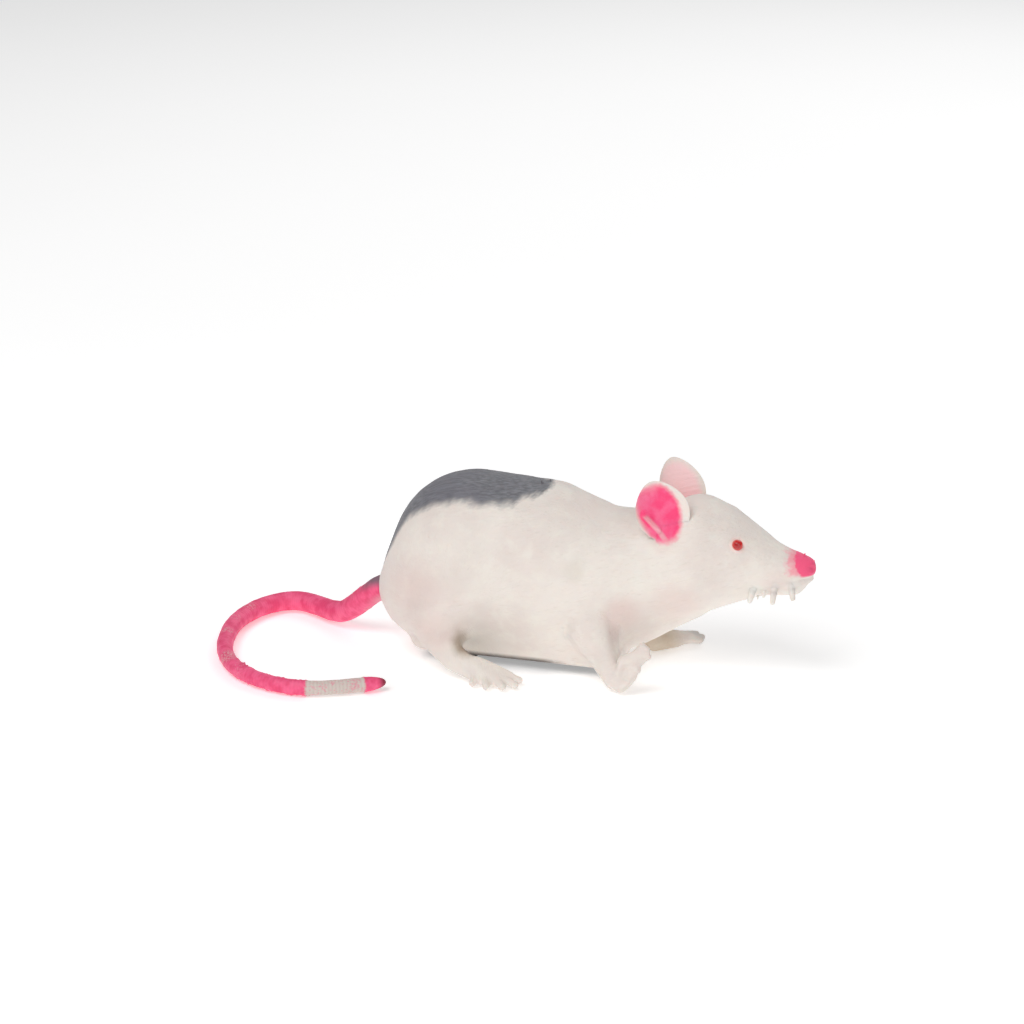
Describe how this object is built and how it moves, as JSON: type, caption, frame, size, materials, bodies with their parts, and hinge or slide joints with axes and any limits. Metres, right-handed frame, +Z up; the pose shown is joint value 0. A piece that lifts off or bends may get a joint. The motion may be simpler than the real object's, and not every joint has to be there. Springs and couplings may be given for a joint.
{
  "type": "clockwork rat toy",
  "caption": "Wind-up rat toy: hollow soft rubber rat with a curled tail over a spring motor on two drive wheels and a swivelling castor, wound by a key in its left flank.",
  "frame": {"origin": "on the floor below the middle of the body, on the toy's mid-plane", "axes": "+X towards the nose, +Y to the rat's left, +Z up"},
  "size_m": [0.183, 0.0982, 0.064],
  "materials": {
    "skin_rubber": "satin soft rubber, off-white with sprayed grey back and pink ears and nose",
    "tail_rubber": "satin soft rubber, sprayed hot pink and worn",
    "eye_bead": "glossy red bead",
    "black_plastic": "moulded satin black",
    "white_plastic": "moulded",
    "red_plastic": "moulded",
    "tyre_rubber": "matte black rubber",
    "steel": "rolled steel",
    "spring_steel": "blued spring steel",
    "brass": "stamped and turned brass"
  },
  "bodies": {
    "shell": {"body_skin": "skin_rubber", "eye_right": "eye_bead", "eye_left": "eye_bead", "base_plate": "black_plastic", "motor_plate_right": "steel", "motor_plate_left": "steel", "frame_pillars": "steel", "plate_rivets": "steel", "motor_screws": "steel", "key_grommet": "brass", "arbor_bush_right": "brass", "arbor_bush_left": "brass", "axle_bush_right": "brass", "axle_bush_left": "brass", "mainspring": "spring_steel"},
    "winder": {"winding_arbor": "steel", "great_wheel": "brass", "key_barrel": "brass", "key_wings": "brass"},
    "middle_gear": {"middle_arbor": "steel", "middle_wheel": "brass", "middle_pinion": "steel"},
    "drive": {"drive_axle": "steel", "drive_pinion": "steel", "wheel_hub_right": "red_plastic", "wheel_hub_left": "red_plastic", "tyre_right": "tyre_rubber", "tyre_left": "tyre_rubber"},
    "governor": {"governor_arbor": "steel", "governor_pinion": "steel", "governor_fly": "brass"},
    "castor": {"castor_fork": "black_plastic", "castor_washer": "steel", "castor_axle": "steel"},
    "roller": {"castor_roller": "white_plastic"},
    "tail": {"tail": "tail_rubber"}
  },
  "joints": [
    {"name": "key_turn", "type": "hinge", "parent": "shell", "child": "winder", "pos_m": [-0.03274, 0, 0.02797], "axis": [0, 1, 0], "range_deg": [0, 1800], "deforming": ["mainspring"]},
    {"name": "middle_gear_spin", "type": "hinge", "parent": "shell", "child": "middle_gear", "pos_m": [-0.03057, 0, 0.01566], "axis": [0, 1, 0], "continuous": true},
    {"name": "wheels_spin", "type": "hinge", "parent": "shell", "child": "drive", "pos_m": [-0.037, 0, 0.008], "axis": [0, 1, 0], "continuous": true},
    {"name": "governor_spin", "type": "hinge", "parent": "shell", "child": "governor", "pos_m": [-0.02118, 0, 0.01224], "axis": [0, 1, 0], "continuous": true},
    {"name": "castor_swivel", "type": "hinge", "parent": "shell", "child": "castor", "pos_m": [-0.003, 0, 0.01], "axis": [0, 0, 1], "continuous": true},
    {"name": "roller_spin", "type": "hinge", "parent": "castor", "child": "roller", "pos_m": [-0.006, 0, 0.004], "axis": [0, 1, 0], "continuous": true},
    {"name": "tail_wag", "type": "hinge", "parent": "shell", "child": "tail", "pos_m": [-0.061, 0, 0.017], "axis": [0, 0, 1], "range_deg": [-12, 8], "stiffness_Nm_per_rad": 0.02}
  ],
  "couplings": [
    {"joint": "middle_gear_spin", "follows": "key_turn", "ratio": -4},
    {"joint": "wheels_spin", "follows": "key_turn", "ratio": 12},
    {"joint": "governor_spin", "follows": "key_turn", "ratio": 12}
  ]
}
